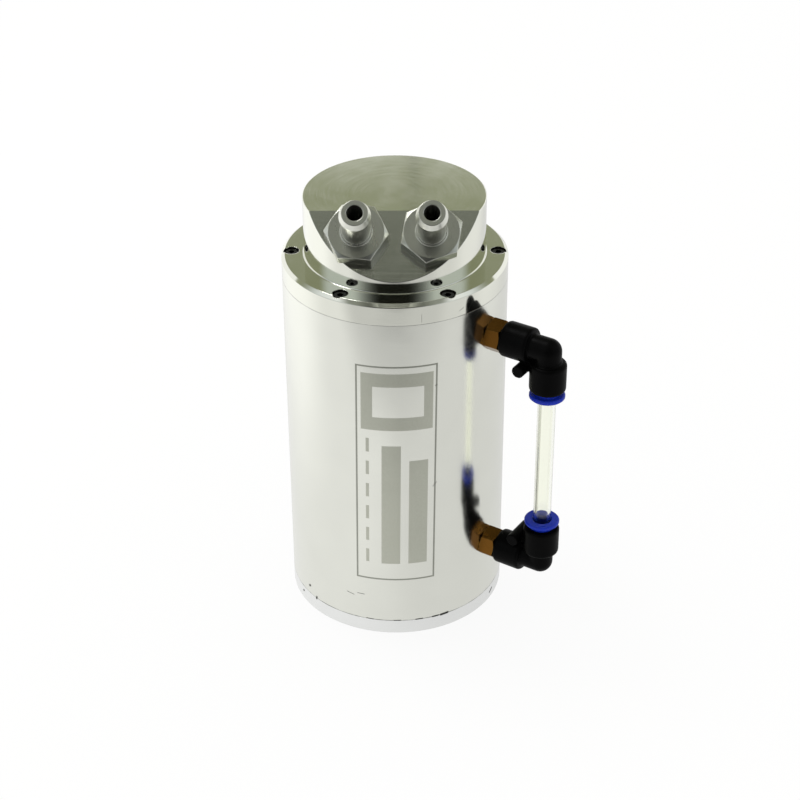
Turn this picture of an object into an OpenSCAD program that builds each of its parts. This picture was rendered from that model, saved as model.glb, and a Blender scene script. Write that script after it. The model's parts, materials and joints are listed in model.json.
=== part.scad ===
// Oil catch can with an angled two-port head and a side sight gauge, in millimetres.
// The origin is the centre of the base. +Z is up and the head's cut face looks towards -Y.

/* [Can body] */
// Outside diameter of the can
can_od = 75; // [72:0.5:90]
// Wall thickness of the can's tube
tube_wall = 6; // [5.6:0.1:8]
// Length of the can's tube between base and lid
tube_len = 118; // [110:1:180]

/* [Base plate] */
// Thickness of the base plate's rim below the tube
base_t = 5.6; // [5:0.1:9]
// Chamfer round the base plate's lower edge
base_chamfer = 0.4; // [0.2:0.1:1]
// Distance between the two threaded mounting holes
mount_spacing = 40; // [30:1:44]
// Tapping diameter of the mounting holes
mount_hole_d = 5; // [3.3:0.1:5]
// Depth of the mounting holes
mount_hole_depth = 7; // [5:0.5:8]

/* [Lid flange] */
// Thickness of the lid's flange
flange_t = 7.5; // [6.5:0.1:11]
// Chamfer round the flange's upper edge
flange_chamfer = 1.1; // [0.5:0.1:1.5]
// Height of the spigots that lid and base push into the tube
spigot_h = 5; // [4:0.5:7]
// Radial clearance of the spigots in the tube
spigot_gap = 0.1; // [0.05:0.05:0.2]
// Thickness of the lid's spigot round the recess in its underside
recess_wall = 8.4; // [5:0.2:9]
// Height of that recess above the tube's rim
recess_h = 7.4; // [4:0.2:8]

/* [Lid cap] */
// Width of the flange outside the lid's round cap
flange_w = 7.5; // [6.5:0.1:8.5]
// Height of the cap above the flange
cap_h = 20.6; // [19:0.2:26]
// Small fillet where the cap's wall meets the flange
cap_fillet = 0.5; // [0.2:0.1:1]
// Chamfer round the cap's top edge
cap_chamfer = 0.25; // [0.1:0.05:0.6]
// Distance from the cut face's upper edge to the front of the cap, seen from above
cut_run = 17.5; // [16:0.1:20]
// Height above the flange at which the cut face leaves the cap's wall
cut_foot = 4.1; // [3:0.1:6]

/* [Hose ports] */
// Distance between the two hose ports
port_spacing = 23.8; // [22:0.1:26]
// Distance of the port centres down the cut face from its upper edge
port_down = 8.9; // [8:0.1:11]
// Diameter of the ports' straight thread
port_thread_d = 13; // [10:0.5:14]
// Depth of the ports' thread
port_thread_depth = 11; // [9:0.5:13]
// Diameter of the passage below the ports
passage_d = 8; // [5:0.5:9]
// Diameter of the seat for a barb's sealing ring
seat_d = 16; // [15.5:0.1:16.8]
// Depth of that seat
seat_depth = 1.5; // [1:0.1:2]

/* [Hose barbs] */
// Width across flats of a barb's hexagon
barb_af = 18; // [17:0.5:19]
// Height of that hexagon
barb_hex_h = 5.2; // [4:0.1:8]
// Turn of the left barb's hexagon about its own axis
left_hex_turn = 56; // [0:1:60]
// Turn of the right barb's hexagon about its own axis
right_hex_turn = 20; // [0:1:60]
// Length of a barb above its hexagon
barb_len = 16.6; // [14:0.1:24]
// Diameter of the neck that the hose grips
neck_d = 9; // [8:0.1:9.4]
// Largest diameter of the barb's bulb
bulb_d = 10.1; // [9.8:0.1:12]
// Diameter of the barb's front end
tip_d = 8.4; // [7:0.1:9]
// Length of the taper from the front end to the bulb
bulb_taper = 2.6; // [2:0.1:5]
// Length of the bulb's full diameter
bulb_land = 1; // [0.5:0.1:1.5]
// Diameter of the small collar at the neck's foot
foot_d = 10.2; // [9.8:0.1:12]
// Height of that collar
foot_h = 0.7; // [0.4:0.1:1.5]
// Bore through a barb
barb_bore = 5.2; // [4:0.1:6]
// Length of a barb's thread
barb_thread_len = 9; // [7:0.5:10]
// Section diameter of a barb's sealing ring
barb_ring = 1.3; // [1:0.05:1.45]

/* [Cap screws] */
// Number of screws in the lid, and in the base
screw_count = 6; // [4:1:8]
// Distance of the screws' axes from the can's outside
screw_inset = 3.35; // [3:0.05:3.5]
// Shank diameter of the screws
screw_d = 2.5; // [2:0.1:2.6]
// Shank length of the screws
screw_len = 10; // [8:1:14]
// Head diameter of the screws
head_d = 4.5; // [4:0.1:4.8]
// Head height of the screws
head_h = 2.5; // [2:0.1:2.6]
// Width across flats of the heads' sockets
socket_af = 2; // [1.5:0.1:2.4]
// Depth of those sockets
socket_depth = 1.3; // [1:0.1:1.6]
// Diameter of the counterbores
counterbore_d = 5.2; // [5:0.1:5.4]
// How far the heads sit below the surface
head_sink = 0.5; // [0.1:0.05:0.6]
// Radial clearance of the screws in lid and base
screw_gap = 0.1; // [0.05:0.05:0.2]
// Depth of the tapped holes past the screws' ends
hole_spare = 1; // [0.5:0.5:2]

/* [Drain plug] */
// Thread diameter of the drain plug
drain_d = 12; // [8:0.5:14]
// Length of the drain plug's thread
drain_len = 8; // [6:0.5:10]
// Head diameter of the drain plug
drain_head_d = 16; // [15.5:0.5:20]
// Head height of the drain plug
drain_head_h = 2; // [1.5:0.1:2.5]
// Width across flats of the drain plug's socket
drain_socket_af = 6; // [4:0.5:6]
// Depth of the drain plug's socket
drain_socket_depth = 4; // [3:0.5:5]
// Thickness of the drain plug's sealing washer
drain_washer_t = 1; // [0.6:0.1:1.2]

/* [Sight gauge] */
// Turn of the gauge about the can's axis, from +X towards -Y
gauge_turn = 32.5; // [20:0.5:40]
// Height of the lower elbow's axis above the base
lower_z = 27.9; // [24:0.1:36]
// Distance of the upper elbow's axis below the tube's rim
upper_drop = 12.6; // [12:0.1:30]
// Outside diameter of the sight tube
sight_od = 6; // [5.8:0.1:6]
// Bore of the sight tube
sight_id = 4; // [3:0.1:4.5]

/* [Brass studs] */
// Thread diameter of a stud
stud_thread_d = 9.7; // [8:0.1:9.8]
// Width across flats of a stud's hexagon
stud_af = 10; // [10:0.1:11]
// Length of a stud's hexagon
stud_hex_len = 5.4; // [4:0.1:7]
// Turn of a stud's hexagon about its own axis
stud_hex_turn = 48; // [0:1:60]
// Diameter of the post that carries the elbow
post_d = 8; // [7:0.1:8.4]
// Length of that post
post_len = 8.4; // [7:0.1:9]
// Bore through a stud
stud_bore = 4.4; // [3:0.1:4.6]
// Depth of the groove for a stud's swivel ring
swivel_groove = 1.1; // [0.8:0.1:1.2]

/* [Elbows] */
// Diameter of an elbow's sleeve round the stud
sleeve_d = 12; // [11.6:0.1:14]
// Length of that sleeve
sleeve_len = 10; // [9.6:0.1:12]
// Distance from the can's wall to the sight tube's axis
gauge_reach = 21.4; // [21:0.1:28]
// Diameter of an elbow's narrow bend
bend_d = 8.6; // [8:0.1:10]
// Diameter of an elbow's port collar
collar_d = 12.2; // [12:0.1:14]
// Distance from an elbow's axis to the near end of the collar
collar_start = 4.2; // [3.6:0.1:4.6]
// Distance from an elbow's axis to the collar's mouth
port_end = 14.3; // [14:0.1:18]
// Rounding of the sleeve's and collar's edges
elbow_round = 0.9; // [0.4:0.1:1]
// Bore of an elbow's bend
bend_bore = 4.2; // [3:0.1:4.8]
// Diameter of the lug in an elbow's inner corner
lug_d = 4.3; // [3.6:0.1:5]
// Length of that lug
lug_len = 11; // [8:0.5:14]
// Distance of the lug from the sight tube's axis
lug_in = 8.4; // [7:0.1:8.8]
// Distance of the lug from the elbow's own axis
lug_down = 8; // [6.6:0.1:8.4]
// Thickness of the web between lug and elbow
lug_web = 3; // [2:0.1:4]

/* [Tube grip] */
// Distance from an elbow's axis to the tube's stop
tube_stop = 3; // [2.6:0.1:3.2]
// Where the seal's chamber starts, from the elbow's axis
seal_start = 5.2; // [5:0.1:5.4]
// Height of a tube seal
seal_h = 2; // [1.6:0.1:2.1]
// Diameter of the seal's chamber
seal_d = 9; // [8.8:0.1:9.4]
// Thickness of a grip ring
grip_t = 0.4; // [0.3:0.05:0.5]
// Number of teeth of a grip ring
grip_teeth = 8; // [6:1:12]
// Outside diameter of the retaining ring in the collar's mouth
retainer_d = 10.2; // [10:0.1:10.6]
// Length of the narrow lip inside that ring
retainer_lip = 1.5; // [1:0.1:1.8]
// Outside diameter of a release collet
collet_d = 8.3; // [8.2:0.1:8.5]
// Height of the bead that keeps the collet in
collet_bead = 0.3; // [0.2:0.05:0.35]
// Diameter of the collet's flange
flange_d = 11.9; // [11:0.1:13]
// Thickness of the collet's flange
collet_flange_t = 1.5; // [1:0.1:2]
// Gap under the collet's flange when it is released
collet_gap = 1.5; // [1.5:0.1:2]
// Number of slits in the collet's nose
collet_slits = 4; // [3:1:6]
// Width of those slits
slit_w = 0.6; // [0.4:0.1:0.8]
// Radial running clearance of the collet, on its tube and in its ring
run_gap = 0.1; // [0.05:0.01:0.1]

/* [Hidden] */
// Clearance between pieces that are fixed to each other
fit_gap = 0.04;
// Clearance left round each thread, which is drawn plain
thread_gap = 0.05;
// Free length behind pieces that are pushed home
end_gap = 0.2;
// Width of the flat left between a hexagon's flats and its turned corners
face_inset = 0.1;
// Overrun of cuts past a surface
cut = 1;
// How far joined shapes reach into each other
sink = 0.5;
// Place of a stud's swivel ring, as a share of the post's length
swivel_share = 0.55;
// Extra width of the groove for a stud's swivel ring
swivel_room = 0.5;
// How far the grip ring's teeth rise above its rim
grip_rise = 0.3;
// Width of the slots between the grip ring's teeth
grip_slot_w = 0.6;
// Rounding of a tube seal's edges
seal_round = 0.35;
// Chamfer round a screw's head
head_chamfer = 0.25;
// Length of the collet's bead
bead_len = 0.8;
// How far the collet's slits run past its bead
slit_past = 0.6;
// Free travel between the grip ring and the collet's nose
nose_gap = 0.2;
// Step of the cone on the collet's nose
nose_step = 0.5;
// Length of that cone
nose_cone = 0.8;
// Chamfer of the collet's flange
flange_lip = 0.4;

can_id = can_od - 2 * tube_wall;
rim_z = base_t + tube_len;
flange_z = rim_z + flange_t;
top_z = flange_z + cap_h;
cap_r = can_od / 2 - flange_w;
cut_top = cap_r - cut_run;
cut_angle = atan2(cap_h - cut_foot, cut_run);
spigot_r = can_id / 2 - spigot_gap;
recess_r = spigot_r - recess_wall;
screw_circle_r = can_od / 2 - screw_inset;
upper_z = rim_z - upper_drop;

ring_groove_depth = 1.5;
ring_groove_w = 2.2;
ring_section = ring_groove_depth + spigot_gap - 2 * fit_gap;
ring_centre_r = spigot_r - ring_groove_depth + fit_gap + ring_section / 2;

counterbore_depth = head_h + head_sink;
shank_hole_d = screw_d + 2 * screw_gap;
tapped_d = screw_d + 2 * thread_gap;
lid_tap_depth = screw_len - (flange_t - counterbore_depth) + hole_spare;
base_tap_depth = screw_len - (base_t - counterbore_depth) + hole_spare;

drain_bore_depth = drain_head_h + drain_washer_t + head_sink;
drain_bore_d = drain_head_d + 2 * screw_gap;
washer_hole_d = drain_d + 2 * screw_gap;

sleeve_end = sleeve_len + stud_hex_len + fit_gap;
sleeve_bore_d = post_d + 2 * fit_gap;
gauge_r = can_od / 2 + gauge_reach;
swivel_at = post_len * swivel_share;
swivel_w = swivel_groove + swivel_room;
swivel_section = swivel_groove - fit_gap;

tube_hole_d = sight_od + 2 * run_gap;
seal_end = seal_start + seal_h + 2 * fit_gap;
grip_seat = seal_end;
retainer_start = grip_seat + grip_t + fit_gap;
retainer_bore = collet_d + 2 * run_gap;
bead_d = collet_d + 2 * collet_bead;
bead_room_d = bead_d + 2 * run_gap;
bead_end = port_end - retainer_lip - run_gap;
nose_end = retainer_start + collet_gap + nose_gap;
slit_len = bead_end + slit_past - nose_end;

satin = [0.80, 0.81, 0.80];
polished = [0.72, 0.73, 0.70];
steel = [0.62, 0.63, 0.64];
brass_colour = [0.72, 0.55, 0.20];
black_nylon = [0.04, 0.04, 0.045];
blue_nylon = [0.03, 0.08, 0.62];
black_rubber = [0.03, 0.03, 0.03];
clear_tube = [0.90, 0.93, 0.92, 0.4];

$fn = 96;

// Shared shapes

// A hexagonal prism from z = 0 whose corners are turned off at the chosen ends
module hexagon(af, h, bottom = false, top = true) {
    corner_r = af / sqrt(3);
    drop = (corner_r - af / 2) * tan(30);
    inner_r = af / 2 - face_inset;
    slope = drop * (corner_r - inner_r) / (corner_r - af / 2);
    intersection() {
        cylinder(r = corner_r, h = h, $fn = 6);
        rotate_extrude()
            polygon([[0, 0], [bottom ? inner_r : corner_r + 1, 0],
                [corner_r + 1, bottom ? slope * (corner_r + 1 - inner_r) / (corner_r - inner_r) : 0],
                [corner_r + 1, top ? h - slope * (corner_r + 1 - inner_r) / (corner_r - inner_r) : h],
                [top ? inner_r : corner_r + 1, h], [0, h]]);
    }
}

// Points of a quarter circle round [x, y] from one angle to another
function arc(x, y, r, from, to, steps = 8) =
    [for (i = [0:steps]) [x + r * cos(from + (to - from) * i / steps),
        y + r * sin(from + (to - from) * i / steps)]];

// A round bar from z = 0 with rounded outer edges at both ends
module rounded_bar(d, h, r) {
    rotate_extrude()
        polygon(concat([[0, 0]], arc(d / 2 - r, r, r, -90, 0), arc(d / 2 - r, h - r, r, 0, 90), [[0, h]]));
}

// A ring of round section lying flat round the z axis
module o_ring(centre_r, section) {
    rotate_extrude() translate([centre_r, 0]) circle(d = section, $fn = 32);
}

// A plain tube from z = 0
module pipe(od, id, h) {
    difference() {
        cylinder(d = od, h = h);
        translate([0, 0, -cut]) cylinder(d = id, h = h + 2 * cut);
    }
}

// Copies of the children at each screw's place
module at_screws() {
    for (i = [0:screw_count - 1])
        rotate([0, 0, i * 360 / screw_count]) translate([screw_circle_r, 0, 0]) children();
}

// One socket-head cap screw with the top of its head at z = 0 and its shank pointing down
module cap_screw() {
    difference() {
        union() {
            translate([0, 0, -head_h]) rotate_extrude()
                polygon([[0, 0], [head_d / 2, 0], [head_d / 2, head_h - head_chamfer],
                    [head_d / 2 - head_chamfer, head_h], [0, head_h]]);
            translate([0, 0, -head_h - screw_len]) cylinder(d = screw_d, h = screw_len + sink);
        }
        translate([0, 0, -socket_depth]) cylinder(d = socket_af / cos(30), h = socket_depth + cut, $fn = 6);
    }
}

// The hole for one cap screw, with its counterbore's mouth at z = 0
module screw_hole(depth) {
    translate([0, 0, -counterbore_depth]) cylinder(d = counterbore_d, h = counterbore_depth + cut);
    translate([0, 0, -depth - cut]) cylinder(d = shank_hole_d, h = depth + cut);
}

// A groove for a sealing ring round a spigot, centred on z = 0
module ring_groove() {
    difference() {
        cylinder(r = spigot_r + cut, h = ring_groove_w, center = true);
        cylinder(r = spigot_r - ring_groove_depth, h = ring_groove_w + 1, center = true);
    }
}

// Can body

module body_tube() {
    color(satin) difference() {
        translate([0, 0, base_t]) cylinder(d = can_od, h = tube_len, $fn = 180);
        translate([0, 0, base_t - cut]) cylinder(d = can_id, h = tube_len + 2 * cut, $fn = 180);
        translate([0, 0, rim_z - lid_tap_depth]) at_screws() cylinder(d = tapped_d, h = lid_tap_depth + cut);
        translate([0, 0, base_t - cut]) at_screws() cylinder(d = tapped_d, h = base_tap_depth + cut);
        for (z = [lower_z, upper_z]) stud_frame(z) translate([0, 0, -tube_wall - cut])
            cylinder(d = stud_thread_d + 2 * thread_gap, h = tube_wall + 2 * cut);
    }
}

module base_plate() {
    color(satin) difference() {
        union() {
            rotate_extrude($fn = 180)
                polygon([[0, 0], [can_od / 2 - base_chamfer, 0], [can_od / 2, base_chamfer],
                    [can_od / 2, base_t], [0, base_t]]);
            cylinder(r = spigot_r, h = base_t + spigot_h, $fn = 180);
        }
        translate([0, 0, base_t + spigot_h / 2]) ring_groove();
        mirror([0, 0, 1]) at_screws() screw_hole(base_t);
        translate([0, 0, -cut]) cylinder(d = drain_d + 2 * thread_gap, h = base_t + spigot_h + 2 * cut);
        translate([0, 0, -cut]) cylinder(d = drain_bore_d, h = drain_bore_depth + cut);
        for (side = [-1, 1]) translate([side * mount_spacing / 2, 0, -cut])
            cylinder(d = mount_hole_d, h = mount_hole_depth + cut);
    }
}

module base_o_ring() {
    color(black_rubber) translate([0, 0, base_t + spigot_h / 2]) o_ring(ring_centre_r, ring_section);
}

module base_screws() {
    color(steel) mirror([0, 0, 1]) translate([0, 0, -head_sink]) at_screws() cap_screw();
}

module drain_plug() {
    color(steel) translate([0, 0, head_sink]) difference() {
        union() {
            cylinder(d = drain_head_d, h = drain_head_h);
            cylinder(d = drain_d, h = drain_head_h + drain_washer_t + drain_len);
        }
        translate([0, 0, -cut])
            cylinder(d = drain_socket_af / cos(30), h = drain_socket_depth + cut, $fn = 6);
    }
}

module drain_washer() {
    color("sienna") translate([0, 0, head_sink + drain_head_h])
        pipe(drain_head_d, washer_hole_d, drain_washer_t);
}

// Lid

// Places children at a hose port, with +Z out of the cut face
module port_frame(side) {
    translate([side * port_spacing / 2, -cut_top - port_down * cos(cut_angle),
        top_z - port_down * sin(cut_angle)])
        rotate([cut_angle, 0, 0]) children();
}

// The lid as turned, before the cut face and the holes
module lid_blank() {
    rotate_extrude($fn = 180)
        polygon(concat(
            [[0, rim_z - spigot_h], [spigot_r, rim_z - spigot_h], [spigot_r, rim_z], [can_od / 2, rim_z],
                [can_od / 2, flange_z - flange_chamfer], [can_od / 2 - flange_chamfer, flange_z]],
            arc(cap_r + cap_fillet, flange_z + cap_fillet, cap_fillet, -90, -180, 6),
            [[cap_r, top_z - cap_chamfer], [cap_r - cap_chamfer, top_z], [0, top_z]]));
}

module lid() {
    port_z = top_z - port_down * sin(cut_angle);
    passage_len = (port_z - rim_z) / cos(cut_angle);
    color(polished) difference() {
        lid_blank();
        intersection() {
            translate([0, -cut_top, top_z]) rotate([cut_angle, 0, 0])
                translate([-can_od, -can_od, 0]) cube([2 * can_od, 2 * can_od, can_od]);
            translate([-can_od, -can_od, flange_z + cap_fillet]) cube([2 * can_od, 2 * can_od, can_od]);
        }
        translate([0, 0, rim_z - spigot_h - cut]) cylinder(r = recess_r, h = recess_h + spigot_h + cut);
        translate([0, 0, rim_z - spigot_h / 2]) ring_groove();
        translate([0, 0, flange_z]) at_screws() screw_hole(flange_t);
        for (side = [-1, 1]) port_frame(side) {
            translate([0, 0, -port_thread_depth]) cylinder(d = port_thread_d, h = port_thread_depth + cut);
            translate([0, 0, -passage_len]) cylinder(d = passage_d, h = passage_len);
            translate([0, 0, -seat_depth]) cylinder(d = seat_d, h = seat_depth + cut);
        }
    }
}

module lid_o_ring() {
    color(black_rubber) translate([0, 0, rim_z - spigot_h / 2]) o_ring(ring_centre_r, ring_section);
}

module lid_screws() {
    color(steel) translate([0, 0, flange_z - head_sink]) at_screws() cap_screw();
}

// Hose barbs

// One barb with the seat of its hexagon at z = 0
module hose_barb(turn) {
    tip = barb_hex_h + barb_len;
    bulb_foot = tip - bulb_taper - bulb_land;
    difference() {
        union() {
            rotate([0, 0, turn]) hexagon(barb_af, barb_hex_h);
            rotate_extrude()
                polygon([[0, barb_hex_h - sink], [foot_d / 2, barb_hex_h - sink],
                    [foot_d / 2, barb_hex_h + foot_h], [neck_d / 2, barb_hex_h + foot_h],
                    [neck_d / 2, bulb_foot], [bulb_d / 2, bulb_foot],
                    [bulb_d / 2, bulb_foot + bulb_land], [tip_d / 2, tip], [0, tip]]);
            translate([0, 0, -barb_thread_len])
                cylinder(d = port_thread_d - 2 * thread_gap, h = barb_thread_len + sink);
        }
        translate([0, 0, -barb_thread_len - cut])
            cylinder(d = barb_bore, h = barb_thread_len + tip + 2 * cut);
    }
}

// A ring in its seat round the barb's thread
module barb_seal() {
    color(black_rubber) translate([0, 0, -seat_depth / 2])
        o_ring(port_thread_d / 2 + barb_ring / 2 + fit_gap, barb_ring);
}

module left_hose_barb() {
    color(polished) port_frame(-1) hose_barb(left_hex_turn);
}

module right_hose_barb() {
    color(polished) port_frame(1) hose_barb(right_hex_turn);
}

module left_barb_seal() {
    port_frame(-1) barb_seal();
}

module right_barb_seal() {
    port_frame(1) barb_seal();
}

// Sight gauge

// Places children on an elbow's stud axis, with +Z away from the can and z = 0 at the can's wall
module stud_frame(z) {
    rotate([0, 0, -gauge_turn]) translate([can_od / 2, 0, z]) rotate([0, 90, 0]) children();
}

// Places children on the sight tube's axis at an elbow, with +Z out of the elbow's mouth
module port_axis(upper) {
    rotate([0, 0, -gauge_turn]) translate([gauge_r, 0, upper ? upper_z : lower_z])
        rotate([upper ? 180 : 0, 0, 0]) children();
}

// A brass stud with its hexagon's inner face at z = 0
module stud() {
    color(brass_colour) difference() {
        union() {
            translate([0, 0, -tube_wall]) cylinder(d = stud_thread_d, h = tube_wall);
            rotate([0, 0, stud_hex_turn]) hexagon(stud_af, stud_hex_len, true, true);
            cylinder(d = post_d, h = stud_hex_len + post_len);
        }
        translate([0, 0, -tube_wall - cut])
            cylinder(d = stud_bore, h = tube_wall + stud_hex_len + post_len + 2 * cut);
        translate([0, 0, stud_hex_len + swivel_at - swivel_w / 2]) difference() {
            cylinder(d = post_d + 2 * cut, h = swivel_w);
            translate([0, 0, -cut]) cylinder(d = post_d - 2 * swivel_groove, h = swivel_w + 2 * cut);
        }
    }
}

module swivel_seal() {
    color(black_rubber) translate([0, 0, stud_hex_len + swivel_at])
        o_ring(post_d / 2 - swivel_groove + swivel_section / 2 + fit_gap / 2, swivel_section);
}

// An elbow with its corner at the origin, the sleeve towards -X and the mouth towards +Z
module elbow() {
    sleeve_start = gauge_reach - stud_hex_len - fit_gap;
    sleeve_stop = gauge_reach - sleeve_end;
    color(black_nylon) difference() {
        union() {
            translate([-sleeve_start, 0, 0]) rotate([0, 90, 0]) rounded_bar(sleeve_d, sleeve_len, elbow_round);
            translate([-sleeve_stop - elbow_round, 0, 0]) rotate([0, 90, 0])
                cylinder(d = bend_d, h = sleeve_stop + elbow_round);
            sphere(d = bend_d);
            cylinder(d = bend_d, h = collar_start + elbow_round);
            translate([0, 0, collar_start]) rounded_bar(collar_d, port_end - collar_start, elbow_round);
            translate([-lug_in, 0, lug_down]) rotate([90, 0, 0]) cylinder(d = lug_d, h = lug_len, center = true);
            translate([-lug_in, -lug_web / 2, 0]) cube([lug_in, lug_web, lug_down]);
        }
        translate([-sleeve_start - cut, 0, 0]) rotate([0, 90, 0])
            cylinder(d = sleeve_bore_d, h = post_len + end_gap + cut);
        translate([-sleeve_start, 0, 0]) rotate([0, 90, 0]) cylinder(d = bend_bore, h = sleeve_start);
        sphere(d = bend_bore);
        cylinder(d = bend_bore, h = tube_stop + cut);
        translate([0, 0, tube_stop]) cylinder(d = tube_hole_d, h = port_end);
        translate([0, 0, seal_start]) cylinder(d = seal_d, h = port_end);
        translate([0, 0, grip_seat]) cylinder(d = retainer_d, h = port_end);
    }
}

module tube_seal() {
    inner = sight_od / 2 + fit_gap;
    outer = seal_d / 2 - fit_gap;
    color(black_rubber) translate([0, 0, seal_start + fit_gap]) rotate_extrude()
        polygon(concat(arc(inner + seal_round, seal_round, seal_round, -180, -90, 4),
            arc(outer - seal_round, seal_round, seal_round, -90, 0, 4),
            arc(outer - seal_round, seal_h - seal_round, seal_round, 0, 90, 4),
            arc(inner + seal_round, seal_h - seal_round, seal_round, 90, 180, 4)));
}

// A toothed spring ring that lets the tube in and holds it
module grip_ring() {
    inner = sight_od / 2 + fit_gap;
    outer = retainer_d / 2 - fit_gap;
    bend = (inner + outer) / 2;
    color(steel) translate([0, 0, grip_seat]) difference() {
        rotate_extrude()
            polygon([[outer, 0], [outer, grip_t], [bend, grip_t], [inner, grip_t + grip_rise],
                [inner, grip_rise], [bend, 0]]);
        for (i = [0:grip_teeth - 1]) rotate([0, 0, (i + 0.5) * 360 / grip_teeth])
            translate([0, -grip_slot_w / 2, -cut]) cube([bend, grip_slot_w, grip_t + 2 * cut]);
    }
}

module retainer() {
    outer = retainer_d / 2 - fit_gap / 2;
    color(black_nylon) rotate_extrude()
        polygon([[bead_room_d / 2, retainer_start], [outer, retainer_start], [outer, port_end],
            [retainer_bore / 2, port_end], [retainer_bore / 2, port_end - retainer_lip],
            [bead_room_d / 2, port_end - retainer_lip]]);
}

// A release collet: a slit sleeve with a bead inside and a flange outside
module collet() {
    inner = sight_od / 2 + run_gap;
    base = port_end + collet_gap;
    top = base + collet_flange_t;
    color(blue_nylon) difference() {
        rotate_extrude()
            polygon([[inner, nose_end], [collet_d / 2 - nose_step, nose_end],
                [collet_d / 2, nose_end + nose_cone],
                [collet_d / 2, bead_end - bead_len - collet_bead], [bead_d / 2, bead_end - bead_len],
                [bead_d / 2, bead_end], [collet_d / 2, bead_end], [collet_d / 2, base],
                [flange_d / 2 - flange_lip, base], [flange_d / 2, base + flange_lip],
                [flange_d / 2, top - flange_lip], [flange_d / 2 - flange_lip, top],
                [inner + flange_lip, top], [inner, top - flange_lip]]);
        for (i = [0:collet_slits - 1]) rotate([0, 0, (i + 0.5) * 360 / collet_slits])
            translate([0, -slit_w / 2, nose_end - cut]) cube([collet_d, slit_w, slit_len + cut]);
    }
}

module upper_stud() {
    stud_frame(upper_z) stud();
}

module lower_stud() {
    stud_frame(lower_z) stud();
}

module upper_swivel_seal() {
    stud_frame(upper_z) swivel_seal();
}

module lower_swivel_seal() {
    stud_frame(lower_z) swivel_seal();
}

module upper_elbow() {
    port_axis(true) elbow();
}

module lower_elbow() {
    port_axis(false) elbow();
}

module upper_tube_seal() {
    port_axis(true) tube_seal();
}

module lower_tube_seal() {
    port_axis(false) tube_seal();
}

module upper_grip_ring() {
    port_axis(true) grip_ring();
}

module lower_grip_ring() {
    port_axis(false) grip_ring();
}

module upper_retainer() {
    port_axis(true) retainer();
}

module lower_retainer() {
    port_axis(false) retainer();
}

module upper_collet() {
    port_axis(true) collet();
}

module lower_collet() {
    port_axis(false) collet();
}

module sight_tube() {
    foot = tube_stop + end_gap;
    color(clear_tube) port_axis(false) translate([0, 0, foot])
        pipe(sight_od, sight_id, upper_z - lower_z - 2 * foot);
}

body_tube();
base_plate();
base_o_ring();
base_screws();
drain_plug();
drain_washer();
lid();
lid_o_ring();
lid_screws();
left_hose_barb();
right_hose_barb();
left_barb_seal();
right_barb_seal();
upper_stud();
lower_stud();
upper_swivel_seal();
lower_swivel_seal();
upper_elbow();
lower_elbow();
upper_tube_seal();
lower_tube_seal();
upper_grip_ring();
lower_grip_ring();
upper_retainer();
lower_retainer();
upper_collet();
lower_collet();
sight_tube();
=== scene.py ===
"""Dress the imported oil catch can: metals, mouldings, clear tube and their wear, then studio and camera.

Sizes are in millimetres in the can's own frame: +Z up its axis, the head's cut face towards -Y.
"""

import json
import logging
import math
from dataclasses import dataclass, field
from enum import Enum

import bpy
from mathutils import Matrix, Vector

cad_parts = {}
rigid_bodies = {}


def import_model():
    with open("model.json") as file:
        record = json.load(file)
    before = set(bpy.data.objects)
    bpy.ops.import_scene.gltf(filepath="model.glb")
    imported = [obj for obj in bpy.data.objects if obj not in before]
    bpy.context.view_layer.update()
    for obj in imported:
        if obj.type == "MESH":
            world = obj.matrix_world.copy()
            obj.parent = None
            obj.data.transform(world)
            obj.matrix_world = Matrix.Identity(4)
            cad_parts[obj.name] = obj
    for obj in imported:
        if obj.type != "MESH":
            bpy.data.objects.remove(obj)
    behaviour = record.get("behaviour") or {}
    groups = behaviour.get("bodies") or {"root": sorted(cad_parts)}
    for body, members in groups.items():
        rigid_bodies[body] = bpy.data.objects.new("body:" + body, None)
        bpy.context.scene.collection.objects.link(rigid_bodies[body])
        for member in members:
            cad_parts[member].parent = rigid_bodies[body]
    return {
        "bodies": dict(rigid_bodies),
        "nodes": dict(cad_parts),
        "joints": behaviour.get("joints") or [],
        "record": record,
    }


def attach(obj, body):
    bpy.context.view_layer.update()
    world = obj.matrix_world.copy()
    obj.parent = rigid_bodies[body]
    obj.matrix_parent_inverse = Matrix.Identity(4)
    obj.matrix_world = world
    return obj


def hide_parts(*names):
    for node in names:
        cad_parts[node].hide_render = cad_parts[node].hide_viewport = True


LOG = logging.getLogger("catch_can")
MM = 0.001
SOFT = {"interpolation_type": "SMOOTHSTEP"}
RIGHT_ANGLE = 90
Point = tuple[float, float]
Colour = tuple[float, float, float, float]
Triple = tuple[float, float, float]

# Noise values between which a pattern goes from none to full: close together, its edges are hard
FROSTED = (0.2, 0.8)
GENTLE = (0.3, 0.7)
WIPED = (0.35, 0.75)
PATCHY = (0.35, 0.65)
BROKEN = (0.4, 0.6)

# How often a noise is broken up again, for common patterns and for fine ones
DETAIL = 3.0
FINE_DETAIL = 2.0


def linear(code: str) -> Colour:
    """Turn an sRGB hex colour into the linear colour that shaders take.

    Args:
        code: Six hex digits with a leading hash.

    Returns:
        Red, green, blue and an alpha of one.
    """
    parts = [int(code[i : i + 2], 16) / 255 for i in (1, 3, 5)]
    values = [c / 12.92 if c <= 0.04045 else ((c + 0.055) / 1.055) ** 2.4 for c in parts]
    return (values[0], values[1], values[2], 1.0)


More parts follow.
